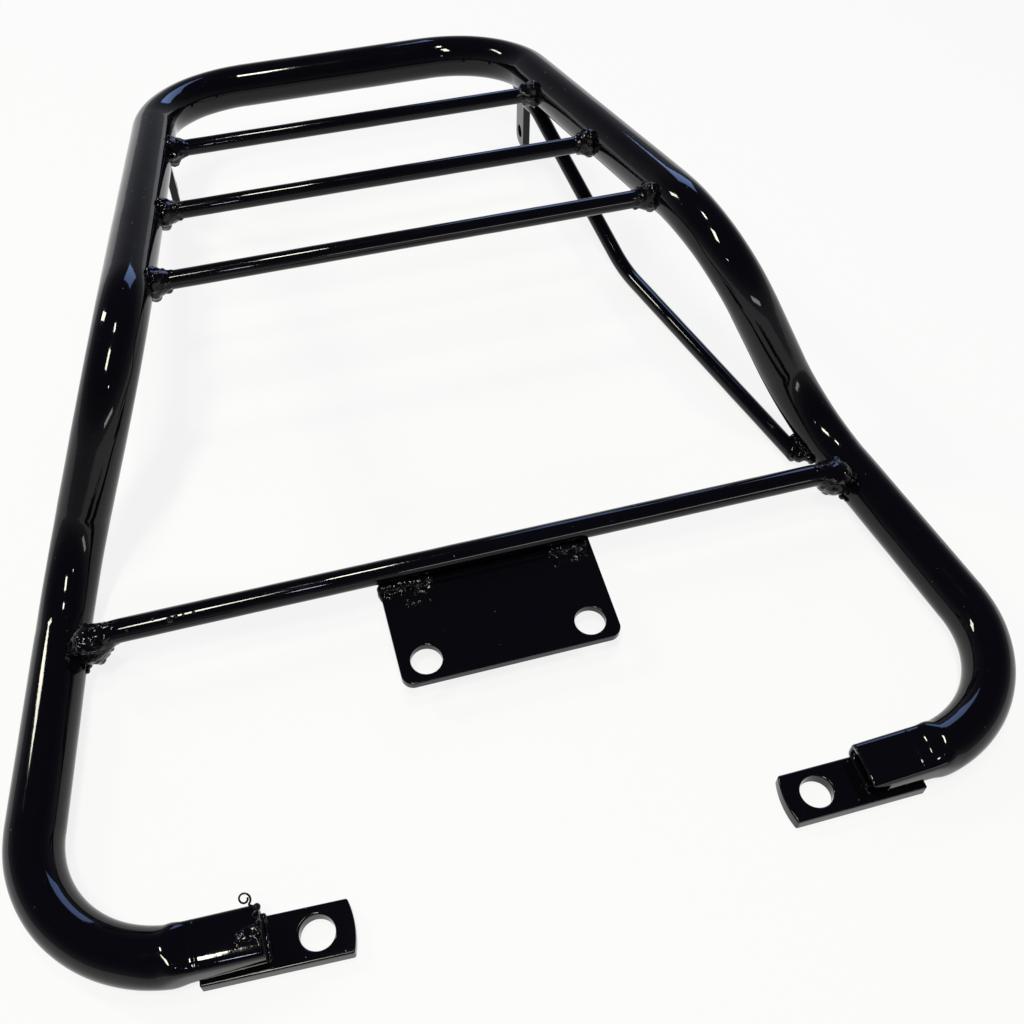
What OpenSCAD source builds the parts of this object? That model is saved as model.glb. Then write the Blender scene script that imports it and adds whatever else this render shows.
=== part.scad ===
// Luggage rack for a motorcycle: one bent tube hoop with rods, brackets and braces welded to it.
// X runs across the rack, Y toward the rear hoop and Z up from the surface the rack lies on.

/* [Main tube] */
// Outside diameter of the bent tube
tube_d = 22; // [20:0.5:24]
// Wall thickness of the tube
tube_wall = 2; // [1.5:0.25:2.5]
// Bend radius on the tube's centre line
tube_bend_r = 51; // [46:1:52]
// Share by which the tube is narrowed in the middle of its rear and front corners
bend_narrowing = 0.05; // [0:0.01:0.1]

/* [Platform] */
// Half width of the platform on the tube's centre line at the rear hoop
rear_half_w = 96.5; // [90:0.5:102]
// Half width of the platform where the sides bend down
front_half_w = 126; // [120:0.5:130]
// Length of the platform along its own slope
platform_l = 246; // [236:1:256]
// How far the platform falls toward the rear, in degrees
platform_fall = 12; // [10:0.5:13]
// Height of the platform's front bends above the low front runs
drop_h = 91; // [86:1:100]
// Sideways spread of each side over that drop
drop_out = 44.5; // [38:0.5:50]
// Forward travel of each side over that drop
drop_run = 38; // [34:1:44]

/* [Front runs] */
// Length of the front runs, from the low bends to the tube ends
front_l = 173; // [165:1:180]
// Sideways spread of each front run
front_spread = 30; // [24:1:34]
// Distance of each cut tube end from the centre plane
end_x = 115; // [112:0.5:118]
// Height of the flattened tube at its very end
press_h = 10; // [9:0.5:12]
// Height of the flattened tube where the flattening begins
press_root_h = 13; // [12:0.5:15]
// Width of the flattened part
press_w = 19.5; // [19:0.5:24]
// Distance from the centre plane at which the flattening is complete
press_x = 140; // [137:0.5:142]
// Length over which the round tube turns flat
press_run = 10; // [7:0.5:14]

/* [Rods] */
// Diameter of the three platform rods
rod_d = 8; // [7:0.5:9]
// Distance of the rear rod ahead of the rear hoop, along the slope
rear_rod_ahead = 72; // [60:1:80]
// Distance of the front rod behind the front bends, along the slope
front_rod_back = 41; // [41:1:60]
// Distance of the middle rod ahead of the point midway between the other two
middle_rod_shift = 2.5; // [0:0.5:8]

/* [Cross bar] */
// Diameter of the front cross bar
bar_d = 10; // [9:0.5:11]
// Distance of the cross bar ahead of the low bends
bar_ahead = 42; // [40:0.5:48]
// Height of the cross bar's straight part
bar_h = 23; // [20:0.5:26]
// Distance from the front runs at which the bar's ends turn down
bar_turn_l = 24; // [22:0.5:30]
// Bend radius of its turned ends
bar_bend_r = 15; // [10:1:18]

/* [Centre plate] */
// Width of the plate
plate_w = 92.5; // [86:0.5:98]
// Length of the plate, measured ahead of the cross bar's axis
plate_l = 51; // [46:0.5:58]
// Overhang of the plate behind the cross bar's axis
plate_back = 5; // [4:0.5:8]
// Thickness of the plate
plate_t = 4; // [3:0.5:5]
// How far the plate dips toward the front, in degrees
plate_dip = 4; // [0:0.5:8]
// Radius of the plate's front corners
plate_corner_r = 5; // [3:0.5:7]
// Spacing of the two plate holes
plate_hole_gap = 69.5; // [60:0.5:72]
// Distance of the plate holes from the front edge
plate_hole_in = 9.5; // [9:0.25:12]
// Diameter of the plate holes
plate_hole_d = 13; // [8:0.5:13]

/* [Front straps] */
// Width of the flat straps under the tube ends
strap_w = 20; // [18:0.5:22]
// Thickness of the straps
strap_t = 6; // [5:0.25:6]
// Distance of the strap tips from the centre plane
strap_tip_x = 83.5; // [80:0.5:86]
// Radius of the arc that ends each strap
strap_tip_r = 34; // [20:1:60]
// How far the strap sits ahead of the tube's axis
strap_ahead = 1.5; // [0:0.5:3]
// Distance of the strap holes from the centre plane
strap_hole_x = 97; // [95:0.5:99]
// Diameter of the strap holes
strap_hole_d = 13; // [8:0.5:13]
// Distance from the tube's end to the point under it about which the left strap is turned
strap_turn_in = 12; // [8:1:16]
// Turn of the left strap, its tip forward, in degrees
left_strap_turn = 3; // [0:0.5:4]

/* [Side brace] */
// Diameter of the brace rod
brace_d = 8; // [7:0.5:9]
// Radius of the brace's low bend
brace_bend_r = 45; // [30:1:60]
// Distance of the brace's upper end ahead of the rear hoop
brace_start = 48; // [47:1:52]
// Distance of the low bend from the centre plane
brace_low_x = 124; // [120:0.5:127]
// Distance of the low bend ahead of the rear hoop
brace_low_y = 149; // [140:1:158]
// Distance of the brace's front end ahead of the low bends of the tube
brace_end_y = 17; // [14:0.5:19]

/* [Rear tabs] */
// Distance of the tab's inner face from the centre plane
tab_x = 98; // [96:0.5:99]
// Thickness of the tabs
tab_t = 4; // [3:0.5:5]
// Width of the tabs along the rack
tab_w = 14; // [12:0.5:16]
// Distance of the tab's middle ahead of the rear hoop
tab_y = 36; // [34:0.5:38]
// Height of the tab's lower end above the surface
tab_low = 10; // [6:0.5:14]
// Diameter of the tab holes
tab_hole_d = 7; // [5:0.5:7]
// Height of the tab holes above the tab's lower end
tab_hole_up = 9; // [8:0.5:12]

/* [Weld beads] */
// Thickness of the beads around the rods
rod_bead = 3; // [2:0.25:4]
// Thickness of the beads around the cross bar's ends
bar_bead = 3.5; // [2.5:0.25:4.5]
// Size of the beads between the cross bar and the plate
seam_bead = 4; // [3:0.25:5]
// Distance of the left plate bead's middle from the plate's side
left_seam_in = 7.75; // [7.5:0.25:14]
// Length of the left plate bead
left_seam_l = 15; // [10:1:18]
// Distance of the right plate bead's middle from the plate's side
right_seam_in = 11.25; // [8:0.25:14]
// Length of the right plate bead
right_seam_l = 16; // [10:1:18]
// Size of the beads across the straps
strap_bead = 3; // [2:0.25:4]

/* [Hidden] */
$fn = 48;

steel = "#16161a";
weld_metal = "#24242a";
// Sides of the rings that the bent pieces are swept through, and the turn from ring to ring
tube_sides = 24;
rod_sides = 20;
bend_step = 13;
corner_step = 8;
// Clearance between a welded piece and the tube it is fitted to
fit_gap = 0.05;

tube_r = tube_d / 2;
rod_r = rod_d / 2;
bar_r = bar_d / 2;
brace_r = brace_d / 2;

platform_run = platform_l * cos(platform_fall);
reach = platform_run + drop_run + front_l;
// The left strap turns about strap_turn_x, so its front corner reaches forward of the straight one
strap_turn_x = end_x + strap_turn_in;
strap_corner_x = strap_tip_x + strap_tip_r - sqrt(strap_tip_r * strap_tip_r - strap_w * strap_w / 4);
strap_front = (strap_turn_x - strap_corner_x) * sin(left_strap_turn)
  + strap_w / 2 * cos(left_strap_turn);
rear_y = (reach + strap_ahead + strap_front - tube_r) / 2;
upper_y = rear_y - platform_run;
low_y = upper_y - drop_run;
end_y = low_y - front_l;
upper_z = tube_r + drop_h;
rear_z = upper_z - platform_l * sin(platform_fall);
low_x = front_half_w + drop_out;
corner_x = low_x + front_spread;
side_slant = atan((front_half_w - rear_half_w) / platform_l);
run_slant = atan(front_spread / front_l);

// Corners of the tube's centre line, from the middle of the rear hoop to the right-hand end
side_line = [
  [0, rear_y, rear_z],
  [rear_half_w, rear_y, rear_z],
  [front_half_w, upper_y, upper_z],
  [low_x, low_y, tube_r],
  [corner_x, end_y, tube_r],
  [end_x, end_y, tube_r]
];

function unit(v) = v / norm(v);
function heading(line, i) = unit(line[i + 1] - line[i]);
function turn(line, i) = acos(heading(line, i - 1) * heading(line, i));

// Places along one bend: a point, the direction of travel and how far through the bend it is
function bend(line, i, r, step) =
  let (
    a = heading(line, i - 1),
    b = heading(line, i),
    inward = unit(b - (a * b) * a),
    start = line[i] - a * r * tan(turn(line, i) / 2),
    n = ceil(turn(line, i) / step)
  )
  [for (k = [0:n]) let (t = turn(line, i) * k / n)
    [start + inward * r + r * (sin(t) * a - cos(t) * inward), cos(t) * a + sin(t) * inward, k / n]];

// Every place along a bent line, from its first point to its last
function stations(line, r, steps) = concat(
  [[line[0], heading(line, 0), 0]],
  [for (i = [1:len(line) - 2]) each bend(line, i, r, steps[i - 1])],
  [[line[len(line) - 1], heading(line, len(line) - 2), 0]]
);

// Round ring of points around a place
function round_ring(place, r) =
  let (s = unit(cross(place[1], [0, 0, 1])), u = cross(s, place[1]))
  [for (k = [0:rod_sides - 1]) let (t = 360 * k / rod_sides)
    place[0] + r * cos(t) * s + r * sin(t) * u];

// How far the tube is flattened at a distance x from the centre plane, 0 to 1
function pressed(x) =
  let (t = min(1, max(0, (press_x + press_run - x) / press_run)))
  t * t * (3 - 2 * t);

// Height of the flattened tube at a distance x from the centre plane
function press_height(x) =
  press_h + (press_root_h - press_h) * min(1, max(0, (x - end_x) / (press_x - end_x)));

// Ring of the main tube: a circle, narrowed in the corners and pressed to a flat oval at the ends
function tube_ring(place, inset) =
  let (
    s = unit(cross(place[1], [0, 0, 1])),
    u = cross(s, place[1]),
    at_front = place[0][1] < low_y,
    x = abs(place[0][0]),
    f = at_front ? pressed(x) : 0,
    h = press_height(x),
    corner = place[0][1] < low_y - tube_bend_r || place[0][1] > upper_y + tube_bend_r,
    narrow = corner ? 1 - bend_narrowing * sin(180 * place[2]) : 1,
    half_h = tube_r + (h / 2 - tube_r) * f - inset,
    flat = (press_w - h) / 2 * f,
    lift = (strap_t + h / 2 - tube_r) * f
  )
  [for (k = [0:tube_sides - 1]) let (t = 360 * k / tube_sides)
    place[0] + (half_h * narrow * cos(t) + sign(cos(t)) * flat) * s + (half_h * sin(t) + lift) * u];

// Triangles that join ring a to ring b, both with the same number of points
function skin(a, b, sides) = [for (k = [0:sides - 1]) let (m = (k + 1) % sides)
  each [[a + k, b + m, b + k], [a + k, a + m, b + m]]];

// Solid bar swept through a list of rings
module sweep(rings) {
  sides = len(rings[0]);
  last = (len(rings) - 1) * sides;
  polyhedron(
    points = [for (ring = rings) each ring],
    faces = concat(
      [for (i = [0:len(rings) - 2]) each skin(i * sides, (i + 1) * sides, sides)],
      [[for (k = [sides - 1:-1:0]) k]],
      [[for (k = [0:sides - 1]) last + k]]
    ),
    convexity = 6
  );
}

// Tube with open ends, swept through outer and inner rings
module sweep_tube(outer, inner) {
  sides = len(outer[0]);
  count = len(outer);
  core = count * sides;
  end = (count - 1) * sides;
  polyhedron(
    points = concat([for (ring = outer) each ring], [for (ring = inner) each ring]),
    faces = concat(
      [for (i = [0:count - 2]) each skin(i * sides, (i + 1) * sides, sides)],
      [for (i = [0:count - 2]) each skin(core + (i + 1) * sides, core + i * sides, sides)],
      skin(core, 0, sides),
      skin(end, core + end, sides)
    ),
    convexity = 10
  );
}

// Places along the right-hand half of the tube, without the middle of the rear hoop
half_line = stations(side_line, tube_bend_r, [bend_step, bend_step, bend_step, corner_step]);
line_end = len(half_line) - 1;
corner_end_x = half_line[line_end - 1][0][0];
// Where the front corner ends short of the press, the last straight turns flat at places of its own
press_places = [for (x = [press_x + press_run, press_x + press_run / 2, press_x])
  if (x < corner_end_x - 1 && x > end_x + 1) [[x, end_y, tube_r], heading(side_line, 4), 0]];
half_places = concat([for (i = [1:line_end - 1]) half_line[i]], press_places, [half_line[line_end]]);
function flip(place) = [
  [-place[0][0], place[0][1], place[0][2]],
  [place[1][0], -place[1][1], -place[1][2]],
  1 - place[2]
];
tube_places = concat(
  [for (i = [len(half_places) - 1:-1:0]) flip(half_places[i])],
  half_places
);

// Round bar from point a to point b
module along(a, b, d) {
  v = b - a;
  translate(a)
    rotate([0, acos(v[2] / norm(v)), atan2(v[1], v[0])])
      cylinder(d = d, h = norm(v));
}

// Straight parts of the right-hand tube, for fitting what is welded to them
module side_run() along(side_line[1], side_line[2], tube_d);
module front_run() along(side_line[3], side_line[4], tube_d);

// Pieces of the tube between neighbouring places, those with an end between y1 and y2
module bent_run(y1, y2) {
  for (i = [0:len(half_places) - 2])
    if (half_places[i][0][1] > y1 && half_places[i + 1][0][1] < y2)
      along(
        half_places[i][0] - unit(half_places[i + 1][0] - half_places[i][0]),
        half_places[i + 1][0] + unit(half_places[i + 1][0] - half_places[i][0]),
        tube_d
      );
}

module left() {
  mirror([1, 0, 0]) children();
}

// The hoop is one steel tube: bent, then pressed flat at both ends
module main_tube() {
  color(steel)
    sweep_tube(
      [for (place = tube_places) tube_ring(place, 0)],
      [for (place = tube_places) tube_ring(place, tube_wall)]
    );
}

front_rod_at = platform_l - front_rod_back;
middle_rod_at = (rear_rod_ahead + front_rod_at) / 2 + middle_rod_shift;
function rod_y(at) = rear_y - at * cos(platform_fall);
function rod_z(at) = rear_z + at * sin(platform_fall);
function side_x(at) = rear_half_w + (front_half_w - rear_half_w) * at / platform_l;
// Inner face of the side tube at a distance from the hoop, and the rod's square end short of it
function face_x(at) = side_x(at) - tube_r / cos(side_slant);
function rod_end_x(at) = face_x(at) - rod_r * tan(side_slant) - fit_gap;

// Round bar lying across the rack
module across(d, half_l) {
  rotate([0, 90, 0])
    cylinder(d = d, h = 2 * half_l, center = true);
}

module rod_blank(at) {
  translate([0, rod_y(at), rod_z(at)])
    across(rod_d, rod_end_x(at));
}

// Platform rod, cut square and fitted between the side tubes
module platform_rod(at) {
  color(steel)
    rod_blank(at);
}

// Ring of weld metal around the end of a bar of radius r that points along Z
module collar(r, bead) {
  rotate_extrude()
    union() {
      translate([r + bead / 4, 0])
        circle(r = bead);
      translate([0, -bead])
        square([r + bead / 4, 2 * bead]);
    }
}

module rod_weld(at) {
  color(weld_metal)
    difference() {
      translate([face_x(at), rod_y(at), rod_z(at)])
        rotate([0, 90, 0])
          collar(rod_r, rod_bead);
      rod_blank(at);
      side_run();
    }
}

// Centre line of the cross bar's right-hand leg, which ends just short of the front run
bar_y = low_y - bar_ahead;
bar_root = [low_x + front_spread * bar_ahead / front_l, bar_y, tube_r];
bar_corner = [bar_root[0] - bar_turn_l, bar_y, bar_h];
bar_way = unit(bar_root - bar_corner);
bar_slant = acos(bar_way * unit(side_line[4] - side_line[3]));
bar_face = bar_root - bar_way * tube_r / sin(bar_slant);
bar_end = bar_face - bar_way * (bar_r / tan(bar_slant) + fit_gap);

// Front cross bar with both ends turned down to the front runs
module cross_bar() {
  line = [
    [-bar_end[0], bar_y, bar_end[2]],
    [-bar_corner[0], bar_y, bar_h],
    bar_corner,
    bar_end
  ];
  color(steel)
    sweep([for (place = stations(line, bar_bend_r, [bend_step, bend_step]))
      round_ring(place, bar_r)]);
}

module bar_weld() {
  color(weld_metal)
    difference() {
      translate(bar_face)
        rotate([0, acos(bar_way[2]), 0])
          collar(bar_r, bar_bead);
      along(bar_corner, bar_end, bar_d);
      front_run();
    }
}

// Moves a thing from the plate's own plane, under the cross bar, to its place
module on_plate() {
  translate([0, bar_y, bar_h])
    rotate([plate_dip, 0, 0])
      translate([0, 0, -bar_r])
        children();
}

// Plate whose rear edge lies under the cross bar
module centre_plate() {
  color(steel)
    on_plate()
      translate([0, 0, -plate_t])
        linear_extrude(plate_t)
          difference() {
            union() {
              translate([-plate_w / 2, plate_corner_r - plate_l])
                square([plate_w, plate_l + plate_back - plate_corner_r]);
              translate([plate_corner_r - plate_w / 2, -plate_l])
                square([plate_w - 2 * plate_corner_r, plate_corner_r]);
              for (side = [-1, 1])
                translate([side * (plate_w / 2 - plate_corner_r), plate_corner_r - plate_l])
                  circle(r = plate_corner_r);
            }
            for (side = [-1, 1])
              translate([side * plate_hole_gap / 2, plate_hole_in - plate_l])
                circle(d = plate_hole_d);
          }
}

// Short bead in the corner between the cross bar and the top of the plate
module plate_weld(bead_x, bead_l) {
  color(weld_metal)
    on_plate()
      difference() {
        translate([bead_x, -bar_r - seam_bead / 4, 0])
          across(2 * seam_bead, bead_l / 2);
        translate([-plate_w, -plate_l, -2 * seam_bead])
          cube([2 * plate_w, 2 * plate_l, 2 * seam_bead]);
        translate([0, 0, bar_r])
          across(bar_d, plate_w);
      }
}

strap_y = end_y - strap_ahead;
strap_root_x = press_x - 1;

// Flat strap under the pressed tube end, with a rounded tip and one hole
module front_strap() {
  color(steel)
    translate([0, strap_y, 0])
      linear_extrude(strap_t)
        difference() {
          union() {
            intersection() {
              translate([strap_tip_x, -strap_w / 2])
                square([strap_tip_r, strap_w]);
              translate([strap_tip_x + strap_tip_r, 0])
                circle(r = strap_tip_r);
            }
            translate([strap_tip_x + strap_tip_r, -strap_w / 2])
              square([strap_root_x - strap_tip_x - strap_tip_r, strap_w]);
          }
          translate([strap_hole_x, 0])
            circle(d = strap_hole_d);
        }
}

// Turns a thing with the left strap, about a point under the tube's end
module strap_turned() {
  translate([strap_turn_x, strap_y, 0])
    rotate([0, 0, left_strap_turn])
      translate([-strap_turn_x, -strap_y, 0])
        children();
}

// Bead across the strap where the flattened tube ends
module strap_weld() {
  color(weld_metal)
    translate([end_x, end_y + press_w / 2 - 2, strap_t])
      rotate([90, 0, 0])
        linear_extrude(press_w - 3)
          intersection() {
            circle(r = strap_bead);
            translate([-strap_bead, 0])
              square([strap_bead, strap_bead]);
          }
}

// The brace starts along the underside of the side tube, drops almost to the surface and
// runs forward to the inner side of the low bend
brace_side = 3.5;
brace_drop = (sqrt(pow(tube_r + brace_r + fit_gap, 2) - brace_side * brace_side)) / cos(platform_fall);
function under_side(ahead) =
  let (at = ahead / cos(platform_fall))
  [side_x(at) - brace_side, rod_y(at), rod_z(at) - brace_drop];
brace_front = [
  low_x + front_spread * brace_end_y / front_l - tube_r - brace_r - 0.2,
  low_y - brace_end_y,
  brace_r + 2.5
];
brace_line = [
  under_side(brace_start),
  under_side(brace_start + 12),
  [brace_low_x, rear_y - brace_low_y, brace_r + 0.1],
  brace_front
];
brace_first = bend(brace_line, 1, 12, bend_step);
brace_places = concat(
  [[brace_line[0], heading(brace_line, 0), 0]],
  brace_first,
  bend(brace_line, 2, brace_bend_r, 9),
  [[brace_front, heading(brace_line, 2), 0]]
);

module side_brace() {
  color(steel)
    sweep([for (place = brace_places) round_ring(place, brace_r)]);
}

// Weld that closes the corner between the brace's upper end, the side tube and the rear tab
module brace_rear_weld() {
  color(weld_metal)
    difference() {
      translate(brace_line[0] + [0, 1, brace_r])
        sphere(r = 5);
      along(brace_line[0], brace_line[1], brace_d);
      bent_run(rear_y - tab_y - tab_w, rear_y - tube_r);
      tab_blank();
    }
}

// Weld between the brace's front end and the low bend of the tube
module brace_front_weld() {
  color(weld_metal)
    difference() {
      translate(brace_front + [brace_r - 1, 2, 1])
        sphere(r = 5.5);
      along(brace_line[2], brace_front, brace_d);
      bent_run(low_y - brace_end_y - 30, low_y + 8);
    }
}

tab_top = rod_z((tab_y + tab_w / 2) / cos(platform_fall)) - tube_r / cos(platform_fall);
tab_rise = tab_w * tan(platform_fall);

// Flat tab that hangs from the side tube, its top cut to the slope of the tube
module tab_blank() {
  corner_r = 5;
  translate([tab_x, rear_y - tab_y, tab_low])
    rotate([90, 0, 90])
      linear_extrude(tab_t)
        difference() {
          union() {
            polygon([
              [-tab_w / 2, corner_r],
              [tab_w / 2, corner_r],
              [tab_w / 2, tab_top - tab_low - tab_rise],
              [-tab_w / 2, tab_top - tab_low]
            ]);
            translate([corner_r - tab_w / 2, 0])
              square([tab_w - 2 * corner_r, corner_r]);
            for (side = [-1, 1])
              translate([side * (tab_w / 2 - corner_r), corner_r])
                circle(r = corner_r);
          }
          translate([0, tab_hole_up])
            circle(d = tab_hole_d);
        }
}

module rear_tab() {
  color(steel)
    tab_blank();
}

// Weld in the corner between the tab's inner face and the underside of the tube
module tab_weld() {
  color(weld_metal)
    difference() {
      translate([tab_x, rear_y - tab_y, tab_top - tab_rise / 2])
        sphere(r = 5);
      translate([tab_x, rear_y - tab_y - tab_w, tab_top - tab_w])
        cube(2 * tab_w);
      bent_run(rear_y - tab_y - tab_w, rear_y - tube_r);
    }
}

main_tube();
platform_rod(rear_rod_ahead);  // rear_rod
platform_rod(middle_rod_at);  // middle_rod
platform_rod(front_rod_at);  // front_rod
cross_bar();
centre_plate();
left() strap_turned() front_strap();  // left_strap
front_strap();  // right_strap
side_brace();
left() rear_tab();  // left_rear_tab
rear_tab();  // right_rear_tab
left() rod_weld(rear_rod_ahead);  // rear_rod_left_weld
rod_weld(rear_rod_ahead);  // rear_rod_right_weld
left() rod_weld(middle_rod_at);  // middle_rod_left_weld
rod_weld(middle_rod_at);  // middle_rod_right_weld
left() rod_weld(front_rod_at);  // front_rod_left_weld
rod_weld(front_rod_at);  // front_rod_right_weld
left() bar_weld();  // cross_bar_left_weld
bar_weld();  // cross_bar_right_weld
plate_weld(left_seam_in - plate_w / 2, left_seam_l);  // plate_left_weld
plate_weld(plate_w / 2 - right_seam_in, right_seam_l);  // plate_right_weld
left() strap_weld();  // strap_left_weld
strap_weld();  // strap_right_weld
brace_rear_weld();
brace_front_weld();
left() tab_weld();  // tab_left_weld
tab_weld();  // tab_right_weld
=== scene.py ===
import math
import random

import bmesh
import bpy
from mathutils import Matrix, Vector, noise


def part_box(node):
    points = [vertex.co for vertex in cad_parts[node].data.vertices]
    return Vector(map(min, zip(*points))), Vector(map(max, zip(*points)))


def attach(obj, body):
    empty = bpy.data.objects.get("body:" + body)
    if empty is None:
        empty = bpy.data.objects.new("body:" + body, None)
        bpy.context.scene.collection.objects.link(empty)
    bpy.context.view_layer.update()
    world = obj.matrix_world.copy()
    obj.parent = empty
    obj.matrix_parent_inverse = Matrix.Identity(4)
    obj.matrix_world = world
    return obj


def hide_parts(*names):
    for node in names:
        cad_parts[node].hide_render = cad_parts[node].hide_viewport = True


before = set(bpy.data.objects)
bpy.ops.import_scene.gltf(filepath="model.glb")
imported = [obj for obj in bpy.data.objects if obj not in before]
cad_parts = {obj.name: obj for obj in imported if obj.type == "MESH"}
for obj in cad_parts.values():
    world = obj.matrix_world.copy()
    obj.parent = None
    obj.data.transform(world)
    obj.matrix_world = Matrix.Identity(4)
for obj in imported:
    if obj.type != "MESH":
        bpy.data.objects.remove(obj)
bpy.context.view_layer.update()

# Main tube: one length of 22 mm mild steel tube with a 2 mm wall, bent cold on a 51 mm
# former into the rear hoop, the dropping sides and the front runs. Both ends are pressed
# flat on top, and the whole rack is then painted in gloss black stoving enamel.
MM = 0.001
TUBE_R, TUBE_WALL = 11.0, 2.0
FORMER_R = 51.0
HOOP_Y, HOOP_Z, HOOP_HALF_W = 227.154, 50.854, 96.5
UPPER_BEND = Vector((126.0, -13.470, 102.0))
LOW_BEND = Vector((170.5, -51.470, TUBE_R))
FRONT_CORNER = Vector((200.5, -224.470, TUBE_R))
TUBE_END_X = 115.0
# Right half of the centre line, from the middle of the hoop to the tube's end
TUBE_LINE = [
    Vector((0.0, HOOP_Y, HOOP_Z)), Vector((HOOP_HALF_W, HOOP_Y, HOOP_Z)), UPPER_BEND, LOW_BEND,
    FRONT_CORNER, Vector((TUBE_END_X, FRONT_CORNER.y, TUBE_R)),
]
# The tube narrows by this share in its corners, and its pressed ends lie on straps this thick
BEND_NARROWING, STRAP_T = 0.05, 6.0

# The enamel's two blacks, and the sizes in mm of what shows in it: slow clouds of colour,
# handling haze, and the spacing and height of dust grains
ENAMEL, ENAMEL_THIN = "#050509", "#08070D"
CLOUD_MM, HAZE_MM, DUST_MM, DUST_HEIGHT_MM = 38, 21, 5.5, 0.12


def linear(hex_colour):
    """Linear RGBA of an sRGB hex colour."""
    parts = [int(hex_colour[i:i + 2], 16) / 255 for i in (1, 3, 5)]
    bright = [c / 12.92 if c <= 0.04045 else ((c + 0.055) / 1.055) ** 2.4 for c in parts]
    return (*bright, 1.0)


def add_node(tree, kind, inputs=None, **settings):
    """A shader node with its settings, values and links: a socket as value is linked."""
    made = tree.nodes.new(kind)
    for key, value in settings.items():
        setattr(made, key, value)
    for key, value in (inputs or {}).items():
        if isinstance(value, bpy.types.NodeSocket):
            tree.links.new(value, made.inputs[key])
        else:
            made.inputs[key].default_value = value
    return made


def stoving_enamel(name, peel_mm, peel_depth_mm, wave_mm, wave_depth_mm, grit):
    """Gloss black stoving enamel, sprayed thick and baked. The eye gets a deep black with sharp
    but slightly rippled reflections: fine orange peel over the slow waves of the metal."""
    material = bpy.data.materials.new(name)
    material.use_nodes = True
    tree = material.node_tree
    tree.nodes.clear()
    place = add_node(tree, "ShaderNodeTexCoord").outputs["Object"]
    cloud = add_node(tree, "ShaderNodeTexNoise",
                     {"Vector": place, "Scale": 1 / (CLOUD_MM * MM), "Detail": 3.0,
                      "Roughness": 0.55})
    colour = add_node(tree, "ShaderNodeMix",
                      {"Factor": cloud.outputs["Fac"], "A": linear(ENAMEL),
                       "B": linear(ENAMEL_THIN)},
                      data_type="RGBA")
    # Handling haze: broad soft patches where the gloss is a little duller
    haze = add_node(tree, "ShaderNodeTexNoise",
                    {"Vector": place, "Scale": 1 / (HAZE_MM * MM), "Detail": 4.0,
                     "Roughness": 0.6})
    gloss = add_node(tree, "ShaderNodeMapRange",
                     {"Value": haze.outputs["Fac"], "From Min": 0.35, "From Max": 0.75,
                      "To Min": 0.03, "To Max": 0.10})
    # Orange peel of the sprayed coat, over the slow waves of the metal under it
    peel = add_node(tree, "ShaderNodeTexNoise",
                    {"Vector": place, "Scale": 1 / (peel_mm * MM), "Detail": 2.0,
                     "Roughness": 0.5})
    wave = add_node(tree, "ShaderNodeTexNoise",
                    {"Vector": place, "Scale": 1 / (wave_mm * MM), "Detail": 1.0,
                     "Roughness": 0.4})
    # Grains of dust under the paint, most of them too fine to show, so they are drawn coarser:
    # raised dots about half a millimetre wide
    dust = add_node(tree, "ShaderNodeTexVoronoi",
                    {"Vector": place, "Scale": 1 / (DUST_MM * MM), "Randomness": 1.0},
                    feature="F1")
    dots = add_node(tree, "ShaderNodeMapRange",
                    {"Value": dust.outputs["Distance"], "From Min": 0.03, "From Max": 0.075,
                     "To Min": grit, "To Max": 0.0}, interpolation_type="SMOOTHSTEP")
    slow = add_node(tree, "ShaderNodeBump",
                    {"Height": wave.outputs["Fac"], "Distance": wave_depth_mm * MM,
                     "Strength": 1.0})
    fine = add_node(tree, "ShaderNodeBump",
                    {"Height": peel.outputs["Fac"], "Distance": peel_depth_mm * MM,
                     "Strength": 1.0, "Normal": slow.outputs["Normal"]})
    specks = add_node(tree, "ShaderNodeBump",
                      {"Height": dots.outputs["Result"], "Distance": DUST_HEIGHT_MM * MM,
                       "Strength": 1.0, "Normal": fine.outputs["Normal"]})
    # Enamel's IOR is about 1.5, but the floor mirrors more dimly in the photograph: set lower
    shader = add_node(tree, "ShaderNodeBsdfPrincipled",
                      {"Base Color": colour.outputs["Result"], "Roughness": gloss.outputs["Result"],
                       "IOR": 1.34, "Normal": specks.outputs["Normal"]})
    add_node(tree, "ShaderNodeOutputMaterial", {"Surface": shader.outputs["BSDF"]})
    return material


# Over bent tube the reflections are drawn out along it and waver where the metal was worked
tube_enamel = stoving_enamel("stoving enamel on bent tube", 3.2, 0.018, 24, 0.10, 0.6)


def rounded_path(corners, radius, turn_step, run_step):
    """Places along a bent line: point, direction of travel and how far through a bend."""
    places, start = [], corners[0]
    for before, corner, after in zip(corners, corners[1:], corners[2:]):
        along, onward = (corner - before).normalized(), (after - corner).normalized()
        turn = along.angle(onward)
        inward = (onward - along * along.dot(onward)).normalized()
        tangent = corner - along * radius * math.tan(turn / 2)
        steps = max(1, round((tangent - start).length / run_step))
        places += [(start.lerp(tangent, k / steps), along, 0.0) for k in range(steps)]
        count = math.ceil(math.degrees(turn) / turn_step)
        for k in range(count):
            t = turn * k / count
            places.append((
                tangent + inward * radius + (along * math.sin(t) - inward * math.cos(t)) * radius,
                along * math.cos(t) + inward * math.sin(t), k / count,
            ))
        start = corner + onward * radius * math.tan(turn / 2)
    last = (corners[-1] - corners[-2]).normalized()
    steps = max(1, round((corners[-1] - start).length / run_step))
    return places + [(start.lerp(corners[-1], k / steps), last, 0.0) for k in range(steps + 1)]


def cross_axes(direction):
    """Sideways and upward axes square to a direction of travel."""
    side = direction.cross(Vector((0, 0, 1))).normalized()
    return side, side.cross(direction)


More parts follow.
